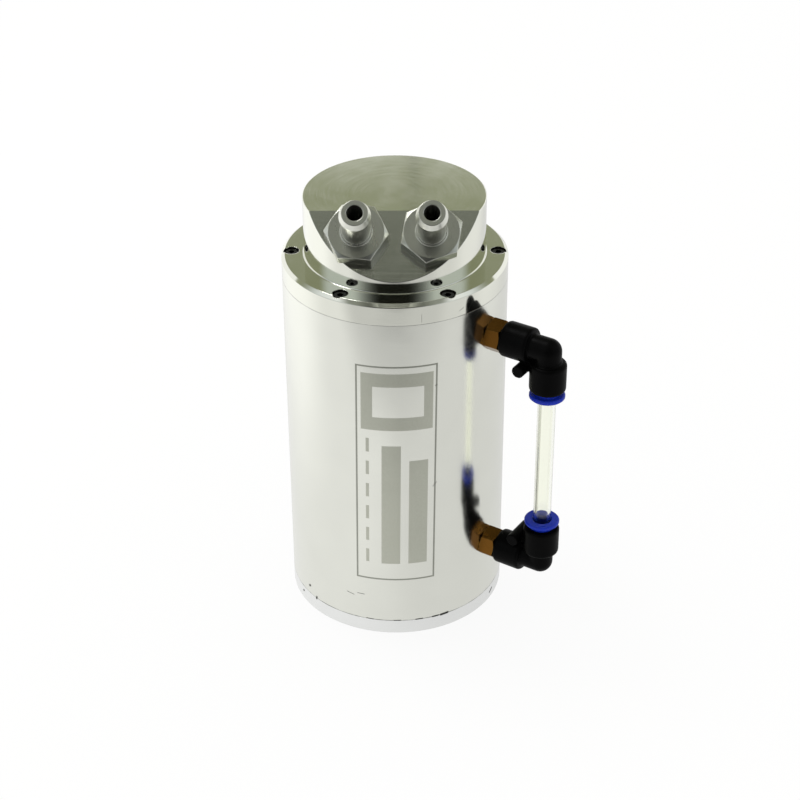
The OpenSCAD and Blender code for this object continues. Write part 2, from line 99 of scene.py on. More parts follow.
def add_node(
    tree: bpy.types.NodeTree, kind: str, settings: dict | None = None, inputs: dict | None = None
) -> bpy.types.Node:
    """Add one node with its settings, and fill or link its inputs.

    Args:
        tree: The node tree that gets the node.
        kind: The node's type name.
        settings: Properties of the node, by name.
        inputs: Values by input name or number. A node stands for its first output.

    Returns:
        The new node.
    """
    node = tree.nodes.new(kind)
    for name, value in (settings or {}).items():
        setattr(node, name, value)
    for key, value in (inputs or {}).items():
        if isinstance(value, bpy.types.Node):
            value = value.outputs[0]
        if isinstance(value, bpy.types.NodeSocket):
            tree.links.new(value, node.inputs[key])
        else:
            node.inputs[key].default_value = value
    return node


def new_material(name: str) -> bpy.types.Material:
    """Make a material with an empty node tree.

    Args:
        name: The material's name.

    Returns:
        The new material.
    """
    made = bpy.data.materials.new(name)
    made.use_nodes = True
    made.node_tree.nodes.clear()
    return made


# Places on a surface


@dataclass
class Surface:
    """The places on a piece that its patterns start from, in millimetres."""

    tree: bpy.types.NodeTree
    radius: float = 37.5
    harshness: float = 0.6
    place: bpy.types.Node = field(init=False)
    parts: bpy.types.Node = field(init=False)
    wall: bpy.types.Node = field(init=False)
    rings: bpy.types.Node = field(init=False)

    def __post_init__(self) -> None:
        """Work out the place in space, on the wrapped wall and among the turned rings."""
        tree = self.tree
        coords = add_node(tree, "ShaderNodeTexCoord")
        self.place = add_node(
            tree,
            "ShaderNodeVectorMath",
            {"operation": "SCALE"},
            {0: coords.outputs["Object"], "Scale": 1 / MM},
        )
        self.parts = add_node(tree, "ShaderNodeSeparateXYZ", inputs={0: self.place})
        x, y, z = self.parts.outputs
        back = add_node(tree, "ShaderNodeMath", {"operation": "MULTIPLY"}, {0: y, 1: -1.0})
        angle = add_node(tree, "ShaderNodeMath", {"operation": "ARCTAN2"}, {0: x, 1: back})
        across = add_node(tree, "ShaderNodeMath", {"operation": "MULTIPLY"}, {0: angle, 1: self.radius})
        self.wall = add_node(tree, "ShaderNodeCombineXYZ", inputs={0: across, 1: z})
        flat = add_node(tree, "ShaderNodeCombineXYZ", inputs={0: x, 1: y})
        out = add_node(tree, "ShaderNodeVectorMath", {"operation": "LENGTH"}, {0: flat})
        self.rings = add_node(tree, "ShaderNodeMath", {"operation": "ADD"}, {0: out.outputs["Value"], 1: z})

    def grain(self, pitch_mm: float, length_mm: float) -> bpy.types.Node:
        """Make turning marks: fine rings round the axis that change slowly on their way round.

        Args:
            pitch_mm: Width of a mark.
            length_mm: Length over which a mark changes.

        Returns:
            A noise node from 0 to 1.
        """
        tree = self.tree
        fine = add_node(tree, "ShaderNodeMath", {"operation": "DIVIDE"}, {0: self.rings, 1: pitch_mm})
        slow = add_node(
            tree, "ShaderNodeVectorMath", {"operation": "SCALE"}, {0: self.place, "Scale": 1 / length_mm}
        )
        xyz = add_node(tree, "ShaderNodeSeparateXYZ", inputs={0: slow})
        where = add_node(
            tree, "ShaderNodeCombineXYZ", inputs={0: xyz.outputs[0], 1: xyz.outputs[1], 2: fine}
        )
        inputs = {"Vector": where, "Scale": 1.0, "Detail": DETAIL, "Roughness": self.harshness}
        return add_node(tree, "ShaderNodeTexNoise", inputs=inputs)

    def mottle(self, size_mm: float, detail: float = DETAIL, swirl: float = 0.0) -> bpy.types.Node:
        """Make soft blotches of a size, which a swirl draws out like wiped film, from 0 to 1."""
        inputs = {"Vector": self.place, "Scale": 1 / size_mm, "Detail": detail, "Distortion": swirl}
        return add_node(self.tree, "ShaderNodeTexNoise", inputs=inputs)

    def union(self, masks: list[bpy.types.Node]) -> bpy.types.Node:
        """Join several masks into the one that covers them all.

        Args:
            masks: The masks to join.

        Returns:
            The mask's last node.
        """
        whole = masks[0]
        for mask in masks[1:]:
            whole = add_node(self.tree, "ShaderNodeMath", {"operation": "MAXIMUM"}, {0: whole, 1: mask})
        return whole


# Marks that making and use have left, and the painted shade in counterbores


class MarkKind(Enum):
    """What a mark on the can is."""

    SCRATCH = "scratch"
    # Grime, whose colour also paints the shade in the counterbores
    GRIME_AND_SHADE = "grime"


# The colour of each kind of mark, and how much it adds to the roughness; the grime's colour also paints the
# shade in counterbores
AGEING_AND_SHADE = {MarkKind.SCRATCH: ("#6A6B65", 0.3), MarkKind.GRIME_AND_SHADE: ("#17150F", 0.4)}


@dataclass(frozen=True)
class Mark:
    """A short stroke on the can's wall, from one place to another.

    Angles are in degrees from the front, positive towards +X; heights and the width are in millimetres.
    It fades between two shares of its half width.
    """

    kind: MarkKind
    start: Point
    end: Point
    width: float
    strength: float = 1.0
    fade: Point = (0.5, 1.4)
    shortest: float = 1e-6

    def mask(self, surface: Surface) -> bpy.types.Node:
        """Make the stroke's mask: its strength on the stroke, 0 a little way off it.

        Args:
            surface: The surface that the mask lies on.

        Returns:
            The mask's last node.
        """
        tree = surface.tree
        scale = math.radians(surface.radius)
        a = Vector((self.start[0] * scale, self.start[1], 0.0))
        way = Vector((self.end[0] * scale, self.end[1], 0.0)) - a
        off = add_node(tree, "ShaderNodeVectorMath", {"operation": "SUBTRACT"}, {0: surface.wall, 1: a})
        dot = add_node(tree, "ShaderNodeVectorMath", {"operation": "DOT_PRODUCT"}, {0: off, 1: way})
        share = add_node(
            tree,
            "ShaderNodeMath",
            {"operation": "DIVIDE", "use_clamp": True},
            {0: dot.outputs["Value"], 1: max(way.length_squared, self.shortest)},
        )
        along = add_node(tree, "ShaderNodeVectorMath", {"operation": "SCALE"}, {0: way, "Scale": share})
        apart = add_node(tree, "ShaderNodeVectorMath", {"operation": "DISTANCE"}, {0: off, 1: along})
        near, far = [share * self.width / 2 for share in self.fade]
        limits = {0: apart.outputs["Value"], 1: near, 2: far, 3: self.strength, 4: 0.0}
        return add_node(tree, "ShaderNodeMapRange", inputs=limits)


@dataclass(frozen=True)
class Seam:
    """A thin dark line round the can where two pieces meet, broken where it is clean."""

    z: float
    half: float = 0.14
    darkest: float = 0.75
    faintest: float = 0.15
    fade: Point = (0.3, 1.4)
    patch_mm: float = 5.0

    def mask(self, surface: Surface) -> bpy.types.Node:
        """Make the line's mask.

        Args:
            surface: The surface that the mask lies on.

        Returns:
            The mask's last node.
        """
        tree = surface.tree
        height = surface.parts.outputs[2]
        off = add_node(tree, "ShaderNodeMath", {"operation": "SUBTRACT"}, {0: height, 1: self.z})
        apart = add_node(tree, "ShaderNodeMath", {"operation": "ABSOLUTE"}, {0: off})
        near, far = [share * self.half for share in self.fade]
        line = add_node(tree, "ShaderNodeMapRange", inputs={0: apart, 1: near, 2: far, 3: 1.0, 4: 0.0})
        broken = add_node(
            tree,
            "ShaderNodeMapRange",
            inputs={
                0: surface.mottle(self.patch_mm),
                1: BROKEN[0],
                2: BROKEN[1],
                3: self.faintest,
                4: self.darkest,
            },
        )
        return add_node(tree, "ShaderNodeMath", {"operation": "MULTIPLY"}, {0: line, 1: broken})


@dataclass(frozen=True)
class ScrewPits:
    """The counterbores in a ring round the can's axis, whose walls get painted shade, patchy in places."""

    circle: float = 34.15
    count: int = 6
    radius: float = 2.72
    low: float = 0.25
    high: float = 130.9
    shade_patch_mm: float = 0.8
    least_shade: float = 0.86

    def mask(self, surface: Surface) -> bpy.types.Node:
        """Make the mask of the counterbores' inside.

        Args:
            surface: The surface that the mask lies on.

        Returns:
            The mask's last node.
        """
        tree = surface.tree
        x, y, z = surface.parts.outputs
        step = 2 * math.pi / self.count
        angle = add_node(tree, "ShaderNodeMath", {"operation": "ARCTAN2"}, {0: y, 1: x})
        turns = add_node(tree, "ShaderNodeMath", {"operation": "DIVIDE"}, {0: angle, 1: step})
        nearest = add_node(tree, "ShaderNodeMath", {"operation": "ROUND"}, {0: turns})
        own = add_node(tree, "ShaderNodeMath", {"operation": "MULTIPLY"}, {0: nearest, 1: step})
        cos = add_node(tree, "ShaderNodeMath", {"operation": "COSINE"}, {0: own})
        sin = add_node(tree, "ShaderNodeMath", {"operation": "SINE"}, {0: own})
        way = add_node(tree, "ShaderNodeCombineXYZ", inputs={0: cos, 1: sin})
        axis = add_node(tree, "ShaderNodeVectorMath", {"operation": "SCALE"}, {0: way, "Scale": self.circle})
        here = add_node(tree, "ShaderNodeCombineXYZ", inputs={0: x, 1: y})
        apart = add_node(tree, "ShaderNodeVectorMath", {"operation": "DISTANCE"}, {0: here, 1: axis})
        inside = add_node(
            tree, "ShaderNodeMath", {"operation": "LESS_THAN"}, {0: apart.outputs["Value"], 1: self.radius}
        )
        under = add_node(tree, "ShaderNodeMath", {"operation": "LESS_THAN"}, {0: z, 1: self.high})
        over = add_node(tree, "ShaderNodeMath", {"operation": "GREATER_THAN"}, {0: z, 1: self.low})
        deep = add_node(tree, "ShaderNodeMath", {"operation": "MULTIPLY"}, {0: under, 1: over})
        # Painted shade on the counterbores' walls, a little lighter in patches
        film = add_node(
            tree,
            "ShaderNodeMapRange",
            inputs={0: surface.mottle(self.shade_patch_mm), 1: GENTLE[0], 2: GENTLE[1], 3: self.least_shade, 4: 1.0},
        )
        pit = add_node(tree, "ShaderNodeMath", {"operation": "MULTIPLY"}, {0: inside, 1: deep})
        return add_node(tree, "ShaderNodeMath", {"operation": "MULTIPLY"}, {0: pit, 1: film})


@dataclass(frozen=True)
class EtchedPanel:
    """A plain etched panel on the can's front: a thin frame round a block, bars and a dashed line.

    Shapes are given by centre and size, from the middle of the frame's foot.
    """

    width: float = 27.2
    foot: float = 23.2
    height: float = 85.4
    line: float = 0.6
    lean: float = 0.0103
    shift: float = -0.16
    edge: float = 0.08
    block: tuple[Point, Point] = ((0.2, 71.8), (24.0, 21.6))
    window: tuple[Point, Point] = ((0.6, 71.8), (17.0, 11.6))
    bars: tuple[tuple[Point, Point], ...] = (((-1.6, 31.0), (6.4, 48.0)), ((7.6, 28.0), (6.4, 42.0)))
    dash: tuple[Point, Point] = ((-9.6, 10.0), (1.1, 5.4))
    dash_step: float = 9.0
    dashes: int = 6
    tone: str = "#BDBFB0"
    line_tone: str = "#8B8D82"
    dulling: float = 0.2
    # The etch's grain is some hundredths of a millimetre, drawn coarser so that it shows
    frost_mm: float = 0.5
    frost: Point = (0.75, 0.95)

    def shapes(self) -> list[tuple[Point, Point]]:
        """List the bars and dashes, each as its centre and size from the frame's foot."""
        (across, up), size = self.dash
        return list(self.bars) + [((across, up + self.dash_step * i), size) for i in range(self.dashes)]

    def box(self, surface: Surface, place: bpy.types.Node, centre: Point, size: Point) -> bpy.types.Node:
        """Make a rectangle's mask on the wall.

        Args:
            surface: The surface it lies on.
            place: The node with the place in the panel.
            centre: The rectangle's centre.
            size: Its width and height.

        Returns:
            A node that is 1 inside and 0 outside.
        """
        tree = surface.tree
        off = add_node(tree, "ShaderNodeVectorMath", {"operation": "SUBTRACT"}, {0: place, 1: (*centre, 0.0)})
        reach = add_node(tree, "ShaderNodeVectorMath", {"operation": "ABSOLUTE"}, {0: off})
        half = (size[0] / 2, size[1] / 2, 0.0)
        beyond = add_node(tree, "ShaderNodeVectorMath", {"operation": "SUBTRACT"}, {0: reach, 1: half})
        xyz = add_node(tree, "ShaderNodeSeparateXYZ", inputs={0: beyond})
        worst = add_node(
            tree, "ShaderNodeMath", {"operation": "MAXIMUM"}, {0: xyz.outputs[0], 1: xyz.outputs[1]}
        )
        return add_node(
            tree, "ShaderNodeMapRange", inputs={0: worst, 1: -self.edge, 2: self.edge, 3: 1.0, 4: 0.0}
        )

    def ring(
        self, surface: Surface, place: bpy.types.Node, outer: tuple[Point, Point], inner: tuple[Point, Point]
    ) -> bpy.types.Node:
        """Make the mask of an outer rectangle without an inner one.

        Args:
            surface: The surface it lies on.
            place: The node with the place in the panel.
            outer: The outer rectangle's centre and size.
            inner: The inner rectangle's centre and size.

        Returns:
            The mask's last node.
        """
        whole = self.box(surface, place, *outer)
        hole = self.box(surface, place, *inner)
        return add_node(surface.tree, "ShaderNodeMath", {"operation": "SUBTRACT"}, {0: whole, 1: hole})

    def masks(self, surface: Surface) -> tuple[bpy.types.Node, bpy.types.Node]:
        """Make the masks of the etched fields and of the frame's line.

        Args:
            surface: The surface that the mask lies on.

        Returns:
            The fields' mask and the line's mask.
        """
        tree = surface.tree
        xyz = add_node(tree, "ShaderNodeSeparateXYZ", inputs={0: surface.wall})
        up = add_node(tree, "ShaderNodeMath", {"operation": "SUBTRACT"}, {0: xyz.outputs[1], 1: self.foot})
        lean = add_node(
            tree, "ShaderNodeMath", {"operation": "MULTIPLY_ADD"}, {0: up, 1: self.lean, 2: self.shift}
        )
        side = add_node(tree, "ShaderNodeMath", {"operation": "SUBTRACT"}, {0: xyz.outputs[0], 1: lean})
        place = add_node(tree, "ShaderNodeCombineXYZ", inputs={0: side, 1: up})
        middle = (0.0, self.height / 2)
        inside = (self.width - 2 * self.line, self.height - 2 * self.line)
        frame = self.ring(surface, place, (middle, (self.width, self.height)), (middle, inside))
        block = self.ring(surface, place, self.block, self.window)
        fields = surface.union([block] + [self.box(surface, place, *shape) for shape in self.shapes()])
        return fields, frame


# Finishes


@dataclass(frozen=True)
class MetalFinish:
    """A bare metal surface: its tone, its gloss, the marks of the tool that made it and of its use, the
    painted shade in its counterbores and the painted glints on its rubbed edges.
    """

    name: str
    colour: str
    roughness: float
    tone_spread: float = 0.06
    gloss_spread: float = 0.05
    # Turning marks lie about 0.1 mm apart, drawn coarser so that they show
    pitch_mm: float = 0.35
    relief_mm: float = 0.0006
    edge_mm: float = 0.12
    worn_and_glint: str | None = None
    marks: tuple[Mark, ...] = ()
    seams: tuple[Seam, ...] = ()
    pits: ScrewPits | None = None
    panel: EtchedPanel | None = None
    milled: Triple | None = None
    milled_match: float = 0.995
    # Cutter lines per millimetre along each axis, drawn coarser so that they show
    cutter_lines: Triple = (0.03, 1.6, 1.6)
    cutter_dulling: Point = (0.02, 0.11)
    mark_mm: float = 9.0
    tone_mm: float = 14.0
    film: Triple = (18.0, 4.0, 1.2)
    glossiest: float = 0.02
    rub_mm: float = 1.5
    rub_bend: Point = (0.995, 0.93)
    rub_share: Point = (0.1, 0.9)
    edge_samples: int = 8

    def material(self) -> bpy.types.Material:
        """Build the metal's material.

        Returns:
            The new material.
        """
        made = new_material(self.name)
        tree = made.node_tree
        surface = Surface(tree)
        grain = surface.grain(self.pitch_mm, self.mark_mm)
        wiped = surface.mottle(*self.film)
        dark = [c * (1 - self.tone_spread) for c in linear(self.colour)[:3]]
        tone = add_node(
            tree,
            "ShaderNodeMix",
            {"data_type": "RGBA"},
            {"Factor": surface.mottle(self.tone_mm), "A": linear(self.colour), "B": (*dark, 1.0)},
        ).outputs["Result"]
        low, high = self.roughness - self.gloss_spread / 2, self.roughness + self.gloss_spread / 2
        ringed = add_node(
            tree,
            "ShaderNodeMapRange",
            inputs={0: grain, 1: GENTLE[0], 2: GENTLE[1], 3: max(low, self.glossiest), 4: high},
        )
        film = add_node(
            tree,
            "ShaderNodeMapRange",
            inputs={0: wiped, 1: WIPED[0], 2: WIPED[1], 3: 0.0, 4: self.gloss_spread},
        )
        gloss = add_node(tree, "ShaderNodeMath", {"operation": "ADD"}, {0: ringed, 1: film})
        edge = add_node(
            tree, "ShaderNodeBevel", {"samples": self.edge_samples}, {"Radius": self.edge_mm * MM}
        )
        if self.milled:
            gloss = self.mill(surface, gloss)
        if self.panel:
            tone, gloss = self.etch(surface, tone, gloss)
        # Lighter edges: wear, and painted glints
        if self.worn_and_glint:
            tone = self.rub(surface, tone, edge)
        tone, gloss = self.age(surface, tone, gloss)
        normal = add_node(
            tree,
            "ShaderNodeBump",
            inputs={"Strength": 1.0, "Distance": self.relief_mm * MM, "Height": grain, "Normal": edge},
        )
        shader = add_node(
            tree,
            "ShaderNodeBsdfPrincipled",
            inputs={"Base Color": tone, "Metallic": 1.0, "Roughness": gloss, "Normal": normal},
        )
        add_node(tree, "ShaderNodeOutputMaterial", inputs={"Surface": shader})
        return made

    def mill(self, surface: Surface, gloss: bpy.types.Node) -> bpy.types.Node:
        """Make the milled face duller than the turned ones, with faint straight cutter lines.

        Args:
            surface: The surface of the piece.
            gloss: The node with its roughness so far.

        Returns:
            The new roughness's node.
        """
        tree = surface.tree
        shape = add_node(tree, "ShaderNodeNewGeometry")
        facing = add_node(
            tree,
            "ShaderNodeVectorMath",
            {"operation": "DOT_PRODUCT"},
            {0: shape.outputs["True Normal"], 1: self.milled},
        )
        here = add_node(
            tree,
            "ShaderNodeMath",
            {"operation": "GREATER_THAN"},
            {0: facing.outputs["Value"], 1: self.milled_match},
        )
        drawn = add_node(
            tree,
            "ShaderNodeVectorMath",
            {"operation": "MULTIPLY"},
            {0: surface.place, 1: self.cutter_lines},
        )
        lines = add_node(tree, "ShaderNodeTexNoise", inputs={"Vector": drawn, "Scale": 1.0, "Detail": DETAIL})
        least, most = self.cutter_dulling
        duller = add_node(
            tree, "ShaderNodeMapRange", inputs={0: lines, 1: GENTLE[0], 2: GENTLE[1], 3: least, 4: most}
        )
        return add_node(
            tree, "ShaderNodeMath", {"operation": "MULTIPLY_ADD"}, {0: here, 1: duller, 2: gloss}
        )

    def etch(
        self, surface: Surface, tone: bpy.types.NodeSocket, gloss: bpy.types.Node
    ) -> tuple[bpy.types.NodeSocket, bpy.types.Node]:
        """Lay the etched panel over the metal: greyer and duller than the turned wall round it.

        Args:
            surface: The surface of the piece.
            tone: The socket with its colour so far.
            gloss: The node with its roughness so far.

        Returns:
            The new colour's socket and the new roughness's node.
        """
        tree = surface.tree
        grit = surface.mottle(self.panel.frost_mm)
        least, most = self.panel.frost
        frost = add_node(
            tree, "ShaderNodeMapRange", inputs={0: grit, 1: FROSTED[0], 2: FROSTED[1], 3: least, 4: most}
        )
        for mask, code in zip(self.panel.masks(surface), (self.panel.tone, self.panel.line_tone)):
            share = add_node(tree, "ShaderNodeMath", {"operation": "MULTIPLY"}, {0: mask, 1: frost})
            tone = add_node(
                tree, "ShaderNodeMix", {"data_type": "RGBA"}, {"Factor": share, "A": tone, "B": linear(code)}
            ).outputs["Result"]
            gloss = add_node(
                tree,
                "ShaderNodeMath",
                {"operation": "MULTIPLY_ADD"},
                {0: mask, 1: self.panel.dulling, 2: gloss},
            )
        return tone, gloss

    def rub(
        self, surface: Surface, tone: bpy.types.NodeSocket, edge: bpy.types.Node
    ) -> bpy.types.NodeSocket:
        """Rub the edges to a lighter, bare-metal colour, for wear and as painted glints, more in some places
        than in others.

        Args:
            surface: The surface of the piece.
            tone: The socket with its colour so far.
            edge: The node with the rounded edges' direction.

        Returns:
            The new colour's socket.
        """
        tree = surface.tree
        shape = add_node(tree, "ShaderNodeNewGeometry")
        alike = add_node(
            tree, "ShaderNodeVectorMath", {"operation": "DOT_PRODUCT"}, {0: shape.outputs["Normal"], 1: edge}
        )
        start, full = self.rub_bend
        bent = add_node(
            tree,
            "ShaderNodeMapRange",
            inputs={0: alike.outputs["Value"], 1: start, 2: full, 3: 0.0, 4: 1.0},
        )
        patches = surface.mottle(self.rub_mm)
        least, most = self.rub_share
        uneven = add_node(
            tree, "ShaderNodeMapRange", inputs={0: patches, 1: PATCHY[0], 2: PATCHY[1], 3: least, 4: most}
        )
        share = add_node(tree, "ShaderNodeMath", {"operation": "MULTIPLY"}, {0: bent, 1: uneven})
        return add_node(
            tree, "ShaderNodeMix", {"data_type": "RGBA"}, {"Factor": share, "A": tone, "B": linear(self.worn_and_glint)}
        ).outputs["Result"]

    def age(
        self, surface: Surface, tone: bpy.types.NodeSocket, gloss: bpy.types.Node
    ) -> tuple[bpy.types.NodeSocket, bpy.types.Node]:
        """Lay scratches, the grime in seams and the painted shade in counterbores, over the metal.

        Args:
            surface: The surface of the piece.
            tone: The socket with its colour so far.
            gloss: The node with its roughness so far.

        Returns:
            The new colour's socket and the new roughness's node.
        """
        tree = surface.tree
        masks = {kind: [mark.mask(surface) for mark in self.marks if mark.kind is kind] for kind in MarkKind}
        masks[MarkKind.GRIME_AND_SHADE] += [seam.mask(surface) for seam in self.seams]
        # The counterbores get painted shade in the grime's colour
        if self.pits:
            masks[MarkKind.GRIME_AND_SHADE].append(self.pits.mask(surface))
        for kind, (code, rough) in AGEING_AND_SHADE.items():
            if not masks[kind]:
                continue
            mask = surface.union(masks[kind])
            tone = add_node(
                tree, "ShaderNodeMix", {"data_type": "RGBA"}, {"Factor": mask, "A": tone, "B": linear(code)}
            ).outputs["Result"]
            gloss = add_node(
                tree, "ShaderNodeMath", {"operation": "MULTIPLY_ADD"}, {0: mask, 1: rough, 2: gloss}
            )
        return tone, gloss


@dataclass(frozen=True)
class MouldedFinish:
    """A moulded plastic or rubber: its colour, sheen and the fine texture of its mould."""

    name: str
    colour: str
    roughness: float
    sheen_level: float = 0.5
    # The mould's texture is about 0.05 mm wide, drawn coarser so that it shows
    texture_mm: float = 0.35
    relief_mm: float = 0.01
    relief_strength: float = 0.5
    glow: float = 0.0
    glow_mm: float = 1.5
    flow_mm: float = 4.0
    paler: float = 1.35
    lift: float = 0.001
    gloss_band: Point = (0.85, 1.15)
    ior: float = 1.5

    def material(self) -> bpy.types.Material:
        """Build the moulding's material.

        Returns:
            The new material.
        """
        made = new_material(self.name)
        tree = made.node_tree
        surface = Surface(tree)
        flow = surface.mottle(self.flow_mm)
        pits = surface.mottle(self.texture_mm, FINE_DETAIL)
        base = linear(self.colour)
        pale = tuple(min(c * self.paler + self.lift, 1.0) for c in base[:3])
        tone = add_node(
            tree, "ShaderNodeMix", {"data_type": "RGBA"}, {"Factor": flow, "A": base, "B": (*pale, 1.0)}
        )
        low, high = [self.roughness * share for share in self.gloss_band]
        gloss = add_node(
            tree, "ShaderNodeMapRange", inputs={0: flow, 1: GENTLE[0], 2: GENTLE[1], 3: low, 4: high}
        )
        relief = {"Strength": self.relief_strength, "Distance": self.relief_mm * MM, "Height": pits}
        normal = add_node(tree, "ShaderNodeBump", inputs=relief)
        shader = add_node(
            tree,
            "ShaderNodeBsdfPrincipled",
            inputs={
                "Base Color": tone.outputs["Result"],
                "Roughness": gloss,
                "IOR": self.ior,
                "Specular IOR Level": self.sheen_level,
                "Subsurface Weight": self.glow,
                "Subsurface Scale": self.glow_mm * MM,
                "Normal": normal,
            },
        )
        add_node(tree, "ShaderNodeOutputMaterial", inputs={"Surface": shader})
        return made


@dataclass(frozen=True)
class ClearFinish:
    """Clear extruded tubing, with faint lengthwise lines from its die."""

    name: str
    colour: str
    roughness: float
    ior: float = 1.49
    # Die lines per millimetre along each axis, drawn coarser so that they show
    die_lines: Triple = (1.2, 1.2, 0.03)
    gloss_band: Point = (0.5, 1.5)
    relief_mm: float = 0.01
    relief_strength: float = 0.3

    def material(self) -> bpy.types.Material:
        """Build the clear tubing's material.

        Returns:
            The new material.
        """
        made = new_material(self.name)
        tree = made.node_tree
        surface = Surface(tree)
        drawn = add_node(
            tree, "ShaderNodeVectorMath", {"operation": "MULTIPLY"}, {0: surface.place, 1: self.die_lines}
        )
        lines = add_node(
            tree, "ShaderNodeTexNoise", inputs={"Vector": drawn, "Scale": 1.0, "Detail": FINE_DETAIL}
        )
        low, high = [self.roughness * share for share in self.gloss_band]
        gloss = add_node(
            tree, "ShaderNodeMapRange", inputs={0: lines, 1: GENTLE[0], 2: GENTLE[1], 3: low, 4: high}
        )
        relief = {"Strength": self.relief_strength, "Distance": self.relief_mm * MM, "Height": lines}
        normal = add_node(tree, "ShaderNodeBump", inputs=relief)
        shader = add_node(
            tree,
            "ShaderNodeBsdfPrincipled",
            inputs={
                "Base Color": linear(self.colour),
                "Roughness": gloss,
                "IOR": self.ior,
                "Transmission Weight": 1.0,
                "Normal": normal,
            },
        )
        add_node(tree, "ShaderNodeOutputMaterial", inputs={"Surface": shader})
        return made


Finish = MetalFinish | MouldedFinish | ClearFinish


# Sub-assemblies


def dress(node: bpy.types.Object, finish: Finish) -> None:
    """Give one of the frame's nodes a finish in place of its plain one.

    Args:
        node: The node to dress.
        finish: What it is made of, and how.
    """
    node.data.materials.clear()
    node.data.materials.append(finish.material())
    LOG.info("%s: %s", node.name, finish.name)


# Distance within which a solid's corners are one, and how far each round of smoothing goes
WELD_MM = 0.002
SMOOTHING = 0.5


def moulded_copy(node: bpy.types.Object, name: str, voxel_mm: float, rounds: int) -> bpy.types.Object:
    """Copy a node as a moulding whose edges and inner corners are softly rounded.

    Args:
        node: The node to copy.
        name: The new piece's name.
        voxel_mm: Size of the grid that the copy is made on.
        rounds: How often the copy is smoothed.

    Returns:
        The new piece, in the node's place.
    """
    rough = bpy.data.objects.new(name + "_rough", node.data.copy())
    bpy.context.scene.collection.objects.link(rough)
    weld = rough.modifiers.new("weld", "WELD")
    weld.merge_threshold = WELD_MM * MM
    grid = rough.modifiers.new("grid", "REMESH")
    grid.mode, grid.voxel_size = "VOXEL", voxel_mm * MM
    soft = rough.modifiers.new("soft", "SMOOTH")
    soft.factor, soft.iterations = SMOOTHING, rounds
    mesh = bpy.data.meshes.new_from_object(
        rough.evaluated_get(bpy.context.evaluated_depsgraph_get())
    )
    bpy.data.objects.remove(rough)
    mesh.name = name
    mesh.shade_smooth()
    piece = bpy.data.objects.new(name, mesh)
    bpy.context.scene.collection.objects.link(piece)
    return piece


@dataclass
class CanBody:
    """The tube, the base plate under it and what closes the base."""

    tube: MetalFinish
    base: MetalFinish
    screws: MetalFinish
    plug: MetalFinish

    def dress(self, nodes: dict[str, bpy.types.Object], rubber: Finish, fibre: Finish) -> None:
        """Give the body's nodes their finishes.

        Args:
            nodes: The frame's nodes by name.
            rubber: The seal's finish.
            fibre: The washer's finish.
        """
        dress(nodes["body_tube"], self.tube)
        dress(nodes["base_plate"], self.base)
        dress(nodes["base_screws"], self.screws)
        dress(nodes["drain_plug"], self.plug)
        dress(nodes["base_o_ring"], rubber)
        dress(nodes["drain_washer"], fibre)


@dataclass
class Head:
    """The lid with its cut face, its screws and its two hose barbs."""

    lid: MetalFinish
    barbs: MetalFinish
    screws: MetalFinish

    def dress(self, nodes: dict[str, bpy.types.Object], rubber: Finish) -> None:
        """Give the head's nodes their finishes.

        Args:
            nodes: The frame's nodes by name.
            rubber: The seals' finish.
        """
        dress(nodes["lid"], self.lid)
        dress(nodes["lid_screws"], self.screws)
        dress(nodes["lid_o_ring"], rubber)
        for side in ("left", "right"):
            dress(nodes[f"{side}_hose_barb"], self.barbs)
            dress(nodes[f"{side}_barb_seal"], rubber)


@dataclass
class SightGauge:
    """The two elbows on their studs, with the clear tube between them."""

    brass: MetalFinish
    nylon: MouldedFinish
    blue: MouldedFinish
    clear: ClearFinish
    steel: MetalFinish
    voxel_mm: float = 0.3
    rounds: int = 5

    def build(self, nodes: dict[str, bpy.types.Object], rubber: Finish) -> None:
        """Make the moulded elbows and give the gauge's nodes their finishes.

        Args:
            nodes: The frame's nodes by name.
            rubber: The seals' finish.
        """
        for end in ("upper", "lower"):
            elbow = moulded_copy(nodes[f"{end}_elbow"], f"{end}_elbow_moulding", self.voxel_mm, self.rounds)
            dress(elbow, self.nylon)
            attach(elbow, "can")
            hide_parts(f"{end}_elbow")
            dress(nodes[f"{end}_stud"], self.brass)
            dress(nodes[f"{end}_collet"], self.blue)
            dress(nodes[f"{end}_retainer"], self.nylon)
            dress(nodes[f"{end}_grip_ring"], self.steel)
            dress(nodes[f"{end}_swivel_seal"], rubber)
            dress(nodes[f"{end}_tube_seal"], rubber)
        dress(nodes["sight_tube"], self.clear)


# Studio and camera


